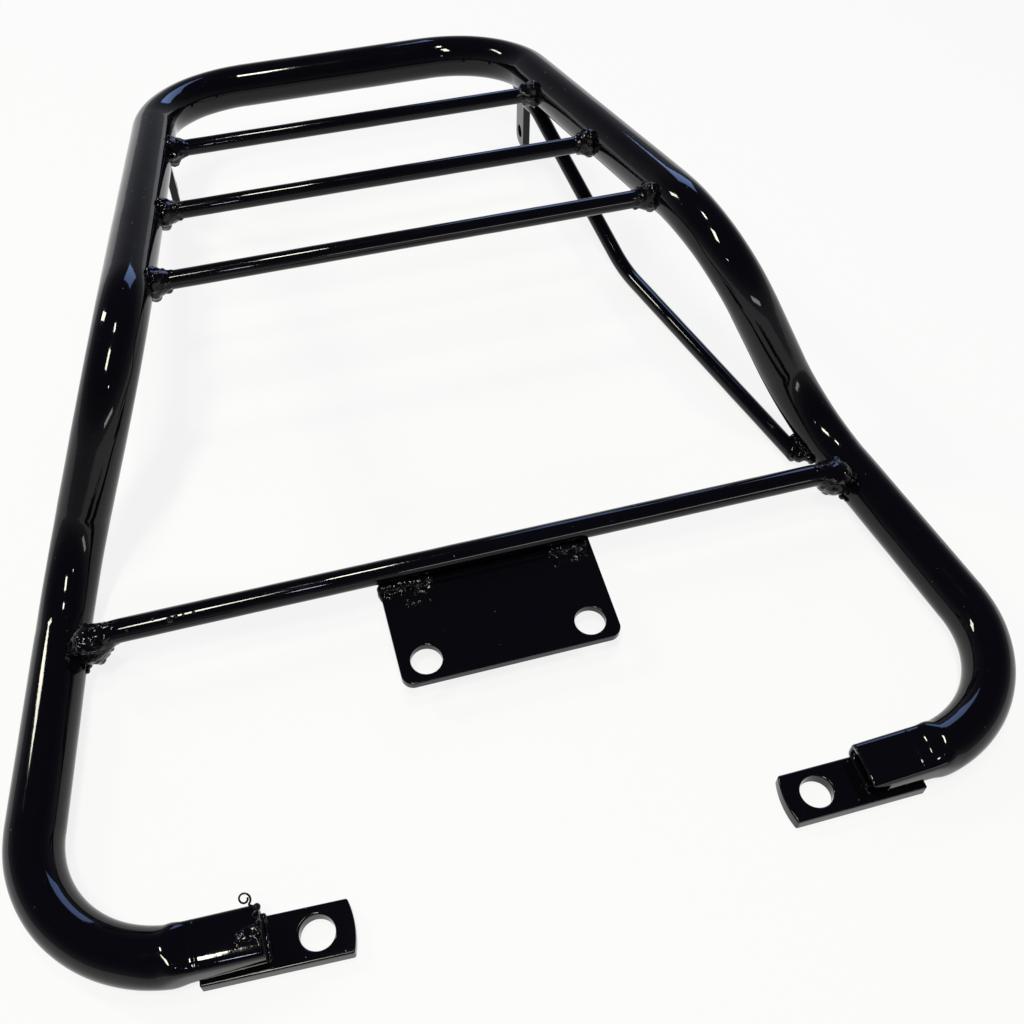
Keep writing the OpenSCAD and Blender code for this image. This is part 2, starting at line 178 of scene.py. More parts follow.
def make_piece(name, points, faces, material, nodes=()):
    """Smooth mesh from points in mm that rides with the rack and stands for its CAD nodes."""
    mesh = bpy.data.meshes.new(name)
    mesh.from_pydata([p * MM for p in points], [], faces)
    mesh.validate()
    tidy = bmesh.new()
    tidy.from_mesh(mesh)
    bmesh.ops.recalc_face_normals(tidy, faces=tidy.faces)
    tidy.to_mesh(mesh)
    tidy.free()
    mesh.polygons.foreach_set("use_smooth", [True] * len(mesh.polygons))
    mesh.materials.append(material)
    piece = bpy.data.objects.new(name, mesh)
    bpy.context.scene.collection.objects.link(piece)
    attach(piece, "root")
    if nodes:
        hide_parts(*nodes)
    return piece


def joined_rings(rings, closed):
    """Points and faces of a skin over rings of equal count: closed into a loop, or capped."""
    sides, count = len(rings[0]), len(rings)
    points = [p for ring in rings for p in ring]
    faces = []
    for i in range(count if closed else count - 1):
        a, b = i * sides, (i + 1) % count * sides
        faces += [(a + k, a + (k + 1) % sides, b + (k + 1) % sides, b + k) for k in range(sides)]
    if not closed:
        last = (count - 1) * sides
        faces += [tuple(range(sides - 1, -1, -1)), tuple(last + k for k in range(sides))]
    return points, faces


def smoothstep(t):
    """Soft rise from 0 to 1."""
    t = min(1.0, max(0.0, t))
    return t * t * (3 - 2 * t)


# The press: where it bites and how far its flat runs out, the flat's height at the tube's end
# and at the bite, how far that rise goes on, the flat's width, and how square its section is
PRESS_X, PRESS_RUN = 140.0, 10.0
PRESS_END_H, PRESS_ROOT_H, PRESS_RISE_TO, PRESS_W = 10.0, 13.0, 1.4, 19.5
PRESS_BOXINESS = 3.2
# Its jaws left dents just behind the flat ends (centre, radius and depth), and their edge left
# a thin ridge across the top: its x on the right and on the left, its height and its width
JAW_DENTS = [
    (Vector((141.0, -228.0, 18.8)), 2.6, 1.3),
    (Vector((-152.0, -229.0, 19.5)), 4.0, 0.5),
]
JAW_LINE = {1: 136.3, -1: 138.2}
JAW_RIDGE_H, JAW_RIDGE_W = 0.2, 0.45

# Unevenness of the painted tube: its wave, its depth in a bend and in a straight, and how far
# the skin lies inside the nominal tube as a share of that depth
SKIN_WAVE, ROUGH_BENT, ROUGH_STRAIGHT, SKIN_SINK = 17.0, 0.10, 0.05, 0.9


def tube_ring(place, inset, sides=80):
    """Cross section of the tube: round, a little narrow in its corners, pressed at its ends."""
    point, direction, share = place
    side, up = cross_axes(direction)
    at_front = point.y < LOW_BEND.y
    x = abs(point.x)
    flat = smoothstep((PRESS_X + PRESS_RUN - x) / PRESS_RUN) if at_front else 0.0
    rise = min(PRESS_RISE_TO, max(0, (x - TUBE_END_X) / (PRESS_X - TUBE_END_X)))
    height = PRESS_END_H + (PRESS_ROOT_H - PRESS_END_H) * rise
    corner = point.y < LOW_BEND.y - FORMER_R or point.y > UPPER_BEND.y + FORMER_R
    narrow = 1 - BEND_NARROWING * math.sin(math.pi * share) if corner else 1.0
    half_h = TUBE_R + (height / 2 - TUBE_R) * flat - inset
    half_w = (TUBE_R + (PRESS_W / 2 - TUBE_R) * flat - inset) * narrow
    lift = (STRAP_T + height / 2 - TUBE_R) * flat
    squareness = 2 / (2 + PRESS_BOXINESS * flat)
    ridge_x = JAW_LINE[1 if point.x > 0 else -1]
    ridge = JAW_RIDGE_H * math.exp(-((x - ridge_x) / JAW_RIDGE_W) ** 2)
    ring = []
    for k in range(sides):
        t = 2 * math.pi * k / sides
        c, s = math.cos(t), math.sin(t)
        wide = math.copysign(abs(c) ** squareness, c) * half_w
        tall = math.copysign(abs(s) ** squareness, s) * half_h
        if inset == 0 and flat > 0.02 and s > 0.2:
            tall += ridge * s
        p = point + side * wide + up * (tall + lift)
        if inset == 0:
            out = (side * wide + up * tall).normalized()
            rough = ROUGH_BENT if 0 < share < 1 else ROUGH_STRAIGHT
            p += out * (rough * (noise.noise(p / SKIN_WAVE) - SKIN_SINK))
            for centre, radius, depth in JAW_DENTS:
                p -= out * depth * math.exp(-((p - centre).length / radius) ** 2)
        ring.append(p)
    return ring


# Steps of the skin: degrees in a bend, mm along a run, and mm along a pressed end from FINE_X on
BEND_STEP, RUN_STEP, PRESS_STEP, FINE_X = 2.0, 3.0, 0.4, 156
half_tube = rounded_path(TUBE_LINE, FORMER_R, BEND_STEP, RUN_STEP)
# The pressed end carries finer rings than the rest, so that its ridge and dents keep their shape
press_from = next(i for i, (p, d, s) in enumerate(half_tube)
                  if p.y < LOW_BEND.y and p.x < FINE_X and s == 0)
press_start = half_tube[press_from][0]
end_point = TUBE_LINE[-1]
press_steps = round((press_start - end_point).length / PRESS_STEP)
half_tube = half_tube[:press_from] + [
    (press_start.lerp(end_point, k / press_steps), Vector((-1, 0, 0)), 0.0)
    for k in range(press_steps + 1)
]
mirrored = [(Vector((-p.x, p.y, p.z)), Vector((d.x, -d.y, -d.z)), 1 - s if s else 0.0)
            for p, d, s in reversed(half_tube[1:])]
tube_places = mirrored + half_tube

rings = [tube_ring(place, 0) for place in tube_places]
# Lips at both mouths, rounded by the paint: how far they ease off outside and in the bore, mm
LIP_EASE, BORE_EASE = 0.18, 0.2
rings[0], rings[-1] = (tube_ring(tube_places[end], LIP_EASE) for end in (0, -1))
bore = [tube_ring(place, TUBE_WALL) for place in tube_places[::-3]]
bore[0] = tube_ring(tube_places[-1], TUBE_WALL - BORE_EASE)
bore.append(tube_ring(tube_places[0], TUBE_WALL - BORE_EASE))
points, faces = joined_rings(rings + bore, closed=True)
# At the right mouth the front wall tore away from the pressed top and stands further back
TORN_BACK, TORN_Y, TORN_Z = 7.0, FRONT_CORNER.y - 6.5, 15.0
TORN_LEAD, TORN_FADE_Y, TORN_FADE_Z = 1.5, 2.5, 1.2
for p in points:
    if p.x > 0 and p.y < LOW_BEND.y:
        torn = smoothstep((TORN_Y + TORN_LEAD - p.y) / TORN_FADE_Y)
        torn *= smoothstep((TORN_Z - p.z) / TORN_FADE_Z)
        p.x = max(p.x, TUBE_END_X + TORN_BACK * torn)
make_piece("main_tube_skin", points, faces, tube_enamel, ["main_tube"])

# Platform rods: three 8 mm bright steel rods sawn square and welded between the side
# tubes as the load floor, under the same enamel; their ends sit in lumpy weld beads.
ROD_R = 4.0
ROD_AT = {"rear": 72.0, "middle": 141.0, "front": 205.0}
ROD_STEPS = 60
PLATFORM_FALL = math.radians(12)
SIDE_START, SIDE_END = TUBE_LINE[1], TUBE_LINE[2]
SIDE_WAY = (SIDE_END - SIDE_START).normalized()

# Over drawn rod the metal is truer, so the highlights stay thin, nearly straight lines
rod_enamel = stoving_enamel("stoving enamel on round rod", 2.6, 0.012, 15, 0.035, 0.45)

# Length in mm of the waves in a bar's unevenness
BAR_WAVE = 9.0


def bar_ring(point, direction, radius, sides, waver):
    """Round section of a bar, uneven by a few hundredths of a millimetre."""
    side, up = cross_axes(direction)
    ring = []
    for k in range(sides):
        t = 2 * math.pi * k / sides
        out = side * math.cos(t) + up * math.sin(t)
        uneven = noise.noise((point + out * radius) / BAR_WAVE) - 0.5
        ring.append(point + out * (radius + waver * uneven))
    return ring


def round_bar(name, places, radius, material, nodes, sides=48, waver=0.05):
    """Solid round bar along its places, its sawn ends slightly rounded by the paint."""
    rings = [bar_ring(p, d, radius, sides, waver) for p, d, s in places]
    for end in (0, -1):
        point, direction = places[end][:2]
        cap = [bar_ring(point, direction, radius * k, sides, 0) for k in (0.9, 0.55, 0.15)]
        rings = cap[::-1] + rings if end == 0 else rings + cap
    points, faces = joined_rings(rings, closed=False)
    return make_piece(name, points, faces, material, nodes)


def on_cylinder(point, way, axis_point, axis_way, radius):
    """First place where a line from point along way meets a cylinder, as a distance."""
    across = way - axis_way * way.dot(axis_way)
    gap = (point - axis_point) - axis_way * (point - axis_point).dot(axis_way)
    a, b, c = across.dot(across), gap.dot(across), gap.dot(gap) - radius * radius
    under = max(b * b - a * c, 0.0)
    return (-b - math.sqrt(under)) / a


rod_ends = {}
for label, at in ROD_AT.items():
    y = HOOP_Y - at * math.cos(PLATFORM_FALL)
    z = HOOP_Z + at * math.sin(PLATFORM_FALL)
    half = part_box(label + "_rod")[1].x / MM
    places = [(Vector((-half + 2 * half * k / ROD_STEPS, y, z)), Vector((1, 0, 0)), 0.0)
              for k in range(ROD_STEPS + 1)]
    round_bar(label + "_rod_bar", places, ROD_R, rod_enamel, [label + "_rod"])
    rod_ends[label] = (y, z, half)

# Weld beads: run by hand with a wire-fed torch, so each is a ring of overlapping puddles with
# a few drops hanging under it; the enamel runs over them thick, glossy and lumpy.
weld_enamel = stoving_enamel("stoving enamel over weld bead", 1.1, 0.07, 4.5, 0.30, 1.0)
# Lumps on a bead: sizes in mm of the coarse and the fine ones, and the fine ones' share
LUMP_MM, SMALL_LUMP_MM, SMALL_LUMP_SHARE = 1.9, 0.9, 0.6


def weld_piece(name, drops, nodes, grain=0.42, seed=1, ripple=0.16):
    """One bead from overlapping round drops of metal: (centre, radius) in millimetres."""
    mesh = bpy.data.meshes.new(name)
    puddle = bmesh.new()
    for centre, radius in drops:
        bmesh.ops.create_icosphere(puddle, subdivisions=3, radius=radius,
                                   matrix=Matrix.Translation(centre))
    puddle.to_mesh(mesh)
    puddle.free()
    rough = bpy.data.objects.new(name + "_drops", mesh)
    bpy.context.scene.collection.objects.link(rough)
    fused = rough.modifiers.new("fuse", "REMESH")
    fused.mode, fused.voxel_size, fused.adaptivity = "VOXEL", grain, 0.0
    eased = rough.modifiers.new("ease", "SMOOTH")
    eased.factor, eased.iterations = 0.5, 5
    bpy.context.view_layer.update()
    done = rough.evaluated_get(bpy.context.evaluated_depsgraph_get()).to_mesh()
    shift = Vector((seed * 7.3, seed * 3.1, seed * 5.7))
    points = []
    for v in done.vertices:
        lump = (noise.noise(v.co / LUMP_MM + shift)
                + SMALL_LUMP_SHARE * noise.noise(v.co / SMALL_LUMP_MM + shift))
        points.append(v.co + v.normal * (lump * ripple))
    faces = [tuple(f.vertices) for f in done.polygons]
    bpy.data.objects.remove(rough)
    return make_piece(name, points, faces, weld_enamel, nodes)


# Puddles in the ring round a bar, and how far back the line to the tube's surface starts, mm
RING_PUDDLES, SIGHT_BACK = 17, 30


def ring_of_drops(end, way, bar_radius, axis_point, axis_way, tube_radius, bead, rng, hanging):
    """Drops round the junction of a bar with a tube, heavier underneath."""
    side, up = cross_axes(way)
    drops = []
    for k in range(RING_PUDDLES):
        t = 2 * math.pi * (k + rng.uniform(-0.3, 0.3)) / RING_PUDDLES
        out = side * math.cos(t) + up * math.sin(t)
        size = bead * rng.uniform(0.5, 0.86)
        foot = end - way * SIGHT_BACK + out * (bar_radius + 0.35 * size)
        foot += way * on_cylinder(foot, way, axis_point, axis_way, tube_radius)
        drops.append((foot - way * 0.3 * size, size))
    for angle, size, drop in hanging:
        t = math.radians(angle)
        out = side * math.cos(t) + up * math.sin(t)
        foot = end - way * SIGHT_BACK + out * (bar_radius + drop)
        foot += way * on_cylinder(foot, way, axis_point, axis_way, tube_radius)
        drops.append((foot - way * 0.4 * size, size))
    return drops


# Balls in a fillet's core, how far it lies under the bar's skin, how hollow its cone is, and
# how much its lumps crowd towards the tube
CORE_BALLS, CORE_SUNK, CONE_HOLLOW, LUMP_CROWD = 9, 0.5, 1.4, 1.7


def fillet_of_drops(end, way, bar_radius, length, swell, rng, lumps):
    """Cone of weld metal round a bar, fattest at the tube, with puddle lumps on its skin."""
    side, up = cross_axes(way)
    drops = []
    for k in range(CORE_BALLS):
        size = bar_radius - CORE_SUNK + swell * (1 - k / CORE_BALLS) ** CONE_HOLLOW
        drops.append((end - way * (length * k / CORE_BALLS), size))
    for k in range(lumps):
        t = (k / lumps) ** LUMP_CROWD
        turn = rng.uniform(0, 2 * math.pi)
        out = side * math.cos(turn) + up * math.sin(turn)
        size = rng.uniform(1.2, 2.7) * (1 - 0.4 * t)
        reach = bar_radius - CORE_SUNK + swell * (1 - t) ** CONE_HOLLOW
        reach -= size * rng.uniform(0.3, 0.8)
        drops.append((end - way * (length * t) + out * reach, size))
    return drops


ROD_BEAD = 3.0
ROD_FILLET_L, ROD_FILLET_SWELL, ROD_LUMPS = 8.5, 2.6, 30
# Drops that hang at each end of a rod: angle round it, size, and how far out they sit
ROD_HANGING = {
    -1: [(-95, 3.0, 2.2), (-70, 2.4, 1.0)],
    1: [(75, 3.0, 1.6), (55, 2.6, 1.8), (-100, 2.3, 0.8)],
}
for label, (y, z, half) in rod_ends.items():
    for sign, side_name in ((-1, "left"), (1, "right")):
        rng = random.Random(label + side_name)
        axis_point = Vector((sign * SIDE_START.x, SIDE_START.y, SIDE_START.z))
        axis_way = Vector((sign * SIDE_WAY.x, SIDE_WAY.y, SIDE_WAY.z))
        way = Vector((sign, 0, 0))
        end = Vector((sign * half, y, z))
        drops = ring_of_drops(end, way, ROD_R, axis_point, axis_way, TUBE_R, ROD_BEAD, rng,
                              ROD_HANGING[sign])
        drops += fillet_of_drops(end, way, ROD_R, ROD_FILLET_L, ROD_FILLET_SWELL, rng, ROD_LUMPS)
        node_name = "%s_rod_%s_weld" % (label, side_name)
        weld_piece(node_name + "_bead", drops, [node_name], seed=rng.randint(1, 90))

# Cross bar: a 10 mm round steel bar, both ends turned down a little to meet the front
# runs, welded to them and enamelled with the rest.
BAR_R, BAR_BEND_R = 5.0, 15.0
BAR_Y, BAR_Z = -93.470, 23.0
BAR_TURN_IN = 24.0
BAR_GAP = 0.05
RUN_WAY = (FRONT_CORNER - LOW_BEND).normalized()
bar_root = LOW_BEND + RUN_WAY * ((LOW_BEND.y - BAR_Y) / -RUN_WAY.y)
bar_corner = Vector((bar_root.x - BAR_TURN_IN, BAR_Y, BAR_Z))
bar_way = (bar_root - bar_corner).normalized()
bar_slant = bar_way.angle(RUN_WAY)
bar_back = TUBE_R / math.sin(bar_slant) + BAR_R / math.tan(bar_slant) + BAR_GAP
bar_end = bar_root - bar_way * bar_back


def mirror_x(v):
    """The same place on the rack's other side."""
    return Vector((-v.x, v.y, v.z))


bar_places = rounded_path([mirror_x(bar_end), mirror_x(bar_corner), bar_corner, bar_end],
                          BAR_BEND_R, 2.0, 4.0)
round_bar("cross_bar_rod", bar_places, BAR_R, rod_enamel, ["cross_bar"])

# Its welds are the rack's fattest: a cone along the bar, and runs along the tube's inner side
BAR_BEAD = 1.75
BAR_FILLET_BACK, BAR_FILLET_L, BAR_FILLET_SWELL, BAR_LUMPS = 4.0, 13.0, 3.9, 48
SIDE_RUN_FROM, SIDE_RUN_L, SIDE_RUN_DROPS = -9.0, 16.0, 12
for sign, side_name in ((-1, "left"), (1, "right")):
    rng = random.Random("bar" + side_name)
    flip = mirror_x if sign < 0 else Vector
    drops = ring_of_drops(flip(bar_end), flip(bar_way), BAR_R, flip(LOW_BEND), flip(RUN_WAY),
                          TUBE_R, BAR_BEAD, rng, [(-90, 3.0, 1.0)])
    drops += fillet_of_drops(flip(bar_end - bar_way * BAR_FILLET_BACK), flip(bar_way), BAR_R,
                             BAR_FILLET_L, BAR_FILLET_SWELL, rng, BAR_LUMPS)
    for k in range(SIDE_RUN_DROPS):
        run = SIDE_RUN_FROM + SIDE_RUN_L * k / (SIDE_RUN_DROPS - 1)
        middle = bar_root - RUN_WAY * run
        turn = math.radians(rng.uniform(-12, 22))
        spot = middle + Vector((-math.cos(turn), 0, math.sin(turn))) * (TUBE_R + 0.2)
        drops.append((flip(spot), rng.uniform(1.4, 2.3) * (1.25 - abs(run) / 12)))
    node_name = "cross_bar_%s_weld" % side_name
    weld_piece(node_name + "_bead", drops, [node_name], seed=rng.randint(1, 90))

# Spatter from the left weld that stuck to the bar before it was painted: x and size in mm
SPATTER = ((-151.0, 0.9), (-147.5, 0.8), (-137.0, 1.0), (-130.5, 1.5), (-128.0, 1.0),
           (-125.0, 0.8), (-121.0, 0.9))
SPATTER_UP, SPATTER_AHEAD = 4.3, 2.2
# Left of this x the bar is turned down, by so much for each millimetre
BAR_DROP_X, BAR_DROP = -146, 0.4
rng = random.Random("spatter")
drops = []
for x, size in SPATTER:
    lift = BAR_Z if x > BAR_DROP_X else BAR_Z - (BAR_DROP_X - x) * BAR_DROP
    ahead = BAR_Y - SPATTER_AHEAD + rng.uniform(-1.2, 1.2)
    drops.append((Vector((x, ahead, lift + SPATTER_UP)), size))
weld_piece("cross_bar_spatter", drops, [], grain=0.3, seed=5)

# Centre plate: 4 mm steel plate with rounded front corners and two punched holes, fixed
# under the cross bar by two short welds, dipping a little to the front.
PLATE_W, PLATE_L, PLATE_BACK, PLATE_T = 92.5, 51.0, 5.0, 4.0
PLATE_CORNER_R, PLATE_HOLE_R = 5.0, 6.5
PLATE_HOLE_X, PLATE_HOLE_Y = 34.75, -41.5
PLATE_DIP = math.radians(4)
EDGE_EASE = 0.45

# Over flat plate the coat flows out, so the flats mirror the room with hardly a ripple
plate_enamel = stoving_enamel("stoving enamel on flat plate", 3.6, 0.010, 30, 0.05, 0.35)


def arc(cx, cy, r, start, stop, count):
    """Points on an arc about (cx, cy), its angles in degrees."""
    return [(cx + r * math.cos(math.radians(start + (stop - start) * k / count)),
             cy + r * math.sin(math.radians(start + (stop - start) * k / count)))
            for k in range(count + 1)]


def flat_bar(name, outline, holes, thickness, turn_to_place, material, nodes,
             ease=EDGE_EASE):
    """Plate of even thickness with holes, its edges eased by the paint. Outline anticlockwise."""
    shape = bmesh.new()
    loops = [outline] + holes
    for loop in loops:
        vs = [shape.verts.new((x, y, 0)) for x, y in loop]
        for a, b in zip(vs, vs[1:] + vs[:1]):
            shape.edges.new((a, b))
    bmesh.ops.triangle_fill(shape, use_beauty=True, edges=shape.edges[:], normal=(0, 0, 1))
    raised = bmesh.ops.extrude_face_region(shape, geom=shape.faces[:])
    top = [g for g in raised["geom"] if isinstance(g, bmesh.types.BMVert)]
    bmesh.ops.translate(shape, verts=top, vec=(0, 0, thickness))
    bmesh.ops.recalc_face_normals(shape, faces=shape.faces)
    rim = [e for e in shape.edges if len(e.link_faces) == 2
           and e.calc_face_angle(0) > math.radians(60)]
    bmesh.ops.bevel(shape, geom=rim, offset=ease, segments=3, affect="EDGES", profile=0.5,
                    clamp_overlap=True)
    mesh = bpy.data.meshes.new(name)
    shape.to_mesh(mesh)
    shape.free()
    points = [turn_to_place @ v.co for v in mesh.vertices]
    faces = [tuple(f.vertices) for f in mesh.polygons]
    piece = make_piece(name, points, faces, material, nodes)
    weighted = piece.modifiers.new("flat faces", "WEIGHTED_NORMAL")
    weighted.keep_sharp = True
    return piece


def round_hole(cx, cy, r):
    """Outline of a hole of 48 short sides."""
    return arc(cx, cy, r, 0, 352.5, 47)


plate_outline = (
    arc(PLATE_CORNER_R - PLATE_W / 2, PLATE_CORNER_R - PLATE_L, PLATE_CORNER_R, 180, 270, 10)
    + arc(PLATE_W / 2 - PLATE_CORNER_R, PLATE_CORNER_R - PLATE_L, PLATE_CORNER_R, 270, 360, 10)
    + [(PLATE_W / 2, PLATE_BACK), (-PLATE_W / 2, PLATE_BACK)]
)
plate_holes = [round_hole(x, PLATE_HOLE_Y, PLATE_HOLE_R) for x in (-PLATE_HOLE_X, PLATE_HOLE_X)]
to_plate = (Matrix.Translation((0, BAR_Y, BAR_Z)) @ Matrix.Rotation(PLATE_DIP, 4, "X")
            @ Matrix.Translation((0, 0, -BAR_R)))
flat_bar("centre_plate_sheet", plate_outline, plate_holes, PLATE_T,
         to_plate @ Matrix.Translation((0, 0, -PLATE_T)), plate_enamel, ["centre_plate"])

# Two short welds in the corner between bar and plate, each with flat runs of spatter in front:
# node, first and last x, how far the spatter reaches, and seed
PLATE_WELDS = (("plate_left_weld", -45.5, -24.0, 11.5, 3), ("plate_right_weld", 28.0, 43.5, 8.0, 8))
PLATE_SPATTER = 30
for node_name, first_x, last_x, reach, seed in PLATE_WELDS:
    rng = random.Random(node_name)
    drops = []
    x = first_x
    while x < last_x:
        size = rng.uniform(1.7, 2.6)
        drops.append((to_plate @ Vector((x, -BAR_R - rng.uniform(0.0, 1.2), 0.3)), size))
        x += size * 0.9
    for k in range(PLATE_SPATTER):
        size = rng.uniform(1.0, 2.4)
        x = rng.uniform(first_x, last_x)
        spot = Vector((x, -BAR_R - reach * rng.random() ** 1.6, 0.75 - size))
        drops.append((to_plate @ spot, size))
    weld_piece(node_name + "_bead", drops, [node_name], seed=seed)

# Front straps: 20 x 6 mm flat bar with a rounded tip and one hole, lying under each
# pressed tube end and welded to it; the left one was welded on slightly askew.
STRAP_W, STRAP_TIP_X, STRAP_TIP_R, STRAP_ROOT_X = 20.0, 83.5, 34.0, 139.0
STRAP_HOLE_X, STRAP_HOLE_R = 97.0, 6.5
STRAP_Y = -225.970
STRAP_TURN, STRAP_TURN_X = math.radians(3), 127.0
STRAP_EASE = 0.7

tip_angle = math.degrees(math.asin(STRAP_W / 2 / STRAP_TIP_R))
strap_outline = (
    arc(STRAP_TIP_X + STRAP_TIP_R, 0, STRAP_TIP_R, 180 - tip_angle, 180 + tip_angle, 16)
    + [(STRAP_ROOT_X, -STRAP_W / 2), (STRAP_ROOT_X, STRAP_W / 2)]
)
strap_hole = round_hole(STRAP_HOLE_X, 0, STRAP_HOLE_R)
mirror = Matrix.Scale(-1, 4, (1, 0, 0))
right_place = Matrix.Translation((0, STRAP_Y, 0))
left_place = (mirror @ Matrix.Translation((STRAP_TURN_X, STRAP_Y, 0))
              @ Matrix.Rotation(STRAP_TURN, 4, "Z") @ Matrix.Translation((-STRAP_TURN_X, 0, 0)))
for side_name, place in (("right", right_place), ("left", left_place)):
    flat_bar(side_name + "_strap_bar", strap_outline, [strap_hole], STRAP_T, place,
             plate_enamel, [side_name + "_strap"], ease=STRAP_EASE)

# Welds across the straps at the tube mouths; the left one is fatter and has climbed over the
# tube's top, first as a row along its edge and then as flat drops behind it
STRAP_WELD_W, STRAP_WELD_DROPS = 15.2, 11
# How far into the tube each bead lies, and the radius of its smallest and largest drop
STRAP_BEAD = {-1: (-0.4, 1.2, 1.8), 1: (0.9, 0.9, 1.3)}
TOP_ROW_FROM, TOP_ROW_L, TOP_ROW_DROPS, TOP_ROW_Z = -5.5, 13.5, 8, 15.5
TOP_PATCH_DROPS, TOP_PATCH_RISE, TOP_PATCH_Z = 18, 0.12, 16.6
end_y = FRONT_CORNER.y
for sign, side_name in ((-1, "left"), (1, "right")):
    rng = random.Random("strap" + side_name)
    drops = []
    inward, smallest, largest = STRAP_BEAD[sign]
    for k in range(STRAP_WELD_DROPS):
        y = end_y - STRAP_WELD_W / 2 + STRAP_WELD_W * k / (STRAP_WELD_DROPS - 1)
        size = rng.uniform(smallest, largest)
        drops.append((Vector((sign * (TUBE_END_X + inward), y, STRAP_T)), size))
    if sign < 0:
        for k in range(TOP_ROW_DROPS):
            y = end_y + TOP_ROW_FROM + TOP_ROW_L * k / (TOP_ROW_DROPS - 1)
            x = -(TUBE_END_X + rng.uniform(0.3, 2.0))
            drops.append((Vector((x, y, TOP_ROW_Z)), rng.uniform(0.9, 1.6)))
        for k in range(TOP_PATCH_DROPS):
            size = rng.uniform(0.9, 2.2)
            back = rng.uniform(1.0, 9.0)
            y = end_y + rng.uniform(-6.0, 3.0)
            z = TOP_PATCH_Z + TOP_PATCH_RISE * back - 0.8 * size
            drops.append((Vector((-(TUBE_END_X + back), y, z)), size))
    weld_piece("strap_%s_weld_bead" % side_name, drops, ["strap_%s_weld" % side_name],
               seed=rng.randint(1, 90))

# Side brace: an 8 mm steel rod, bent twice. It leaves the underside of the right side tube,
# drops almost to the floor that the rack lies on and runs forward to the inner side of the
# low bend, welded at both ends and enamelled with the rest.
BRACE_R, BRACE_GAP, BRACE_SIDE = 4.0, 0.05, 3.5
BRACE_HIGH, BRACE_TURN, BRACE_LOW, BRACE_LOW_X = 48.0, 60.0, 149.0, 124.0
BRACE_AHEAD, BRACE_FRONT_GAP = 17.0, 0.2
PLATFORM_L = 246.0
RUN_SPREAD, RUN_L = 30.0, 173.0
BRACE_REAR_BEND_R, BRACE_FRONT_BEND_R = 12.0, 45.0


def under_side(ahead):
    """Place of the brace's axis under the right side tube, so far ahead of the hoop."""
    at = ahead / math.cos(PLATFORM_FALL)
    apart = TUBE_R + BRACE_R + BRACE_GAP
    drop = math.sqrt(apart ** 2 - BRACE_SIDE ** 2) / math.cos(PLATFORM_FALL)
    return Vector((SIDE_START.x + (SIDE_END.x - SIDE_START.x) * at / PLATFORM_L - BRACE_SIDE,
                   HOOP_Y - ahead, HOOP_Z + at * math.sin(PLATFORM_FALL) - drop))


brace_front = Vector((
    LOW_BEND.x + RUN_SPREAD * BRACE_AHEAD / RUN_L - TUBE_R - BRACE_R - BRACE_FRONT_GAP,
    LOW_BEND.y - BRACE_AHEAD, BRACE_R + 2.5,
))
brace_line = [
    under_side(BRACE_HIGH), under_side(BRACE_TURN),
    Vector((BRACE_LOW_X, HOOP_Y - BRACE_LOW, BRACE_R + 0.1)), brace_front,
]
# The two bends differ in radius, so each comes from a path of its own. The first is kept up to
# so many mm past its bend, and the second goes on after a step of so many mm.
PAST_BEND, PATH_STEP = 10, 2
first = rounded_path(brace_line[:3], BRACE_REAR_BEND_R, 3.0, 3.0)
second = rounded_path(brace_line[1:], BRACE_FRONT_BEND_R, 2.0, 3.0)
upper = [place for place in first
         if (place[0] - brace_line[1]).length < PAST_BEND or place[0].y > brace_line[1].y]
joint_y = upper[-1][0].y
brace_places = upper + [place for place in second if place[0].y < joint_y - PATH_STEP]
round_bar("side_brace_rod", brace_places, BRACE_R, rod_enamel, ["side_brace"])

# Short run of metal over the brace's rear end, in the corner under the side tube
REAR_DROPS, FRONT_DROPS = 10, 22
rng = random.Random("brace")
rear_foot = brace_line[0]
drops = []
for k in range(REAR_DROPS):
    spot = Vector((rng.uniform(-3, 3), rng.uniform(-1, 4), BRACE_R + rng.uniform(-1.5, 1.5)))
    drops.append((rear_foot + spot, rng.uniform(1.8, 2.8)))
weld_piece("brace_rear_weld_bead", drops, ["brace_rear_weld"], seed=12)

# Run of metal along the brace's front end: a smooth core with low lumps, and a blunt nose
joint = brace_front + Vector((BRACE_R - 0.2, 0, 1.5))
drops = [(joint + RUN_WAY * run, 2.7 - 0.12 * abs(run)) for run in (-9, -6, -3, 0, 3, 6)]
drops.append((brace_front + Vector((1.2, -0.8, 0.4)), 3.4))
for k in range(FRONT_DROPS):
    spot = joint + RUN_WAY * rng.uniform(-9.0, 6.5)
    aside = Vector((rng.uniform(-1.6, 0.6), 0, rng.uniform(-1.0, 2.2)))
    drops.append((spot + aside, rng.uniform(1.0, 1.9)))
weld_piece("brace_front_weld_bead", drops, ["brace_front_weld"], seed=21)

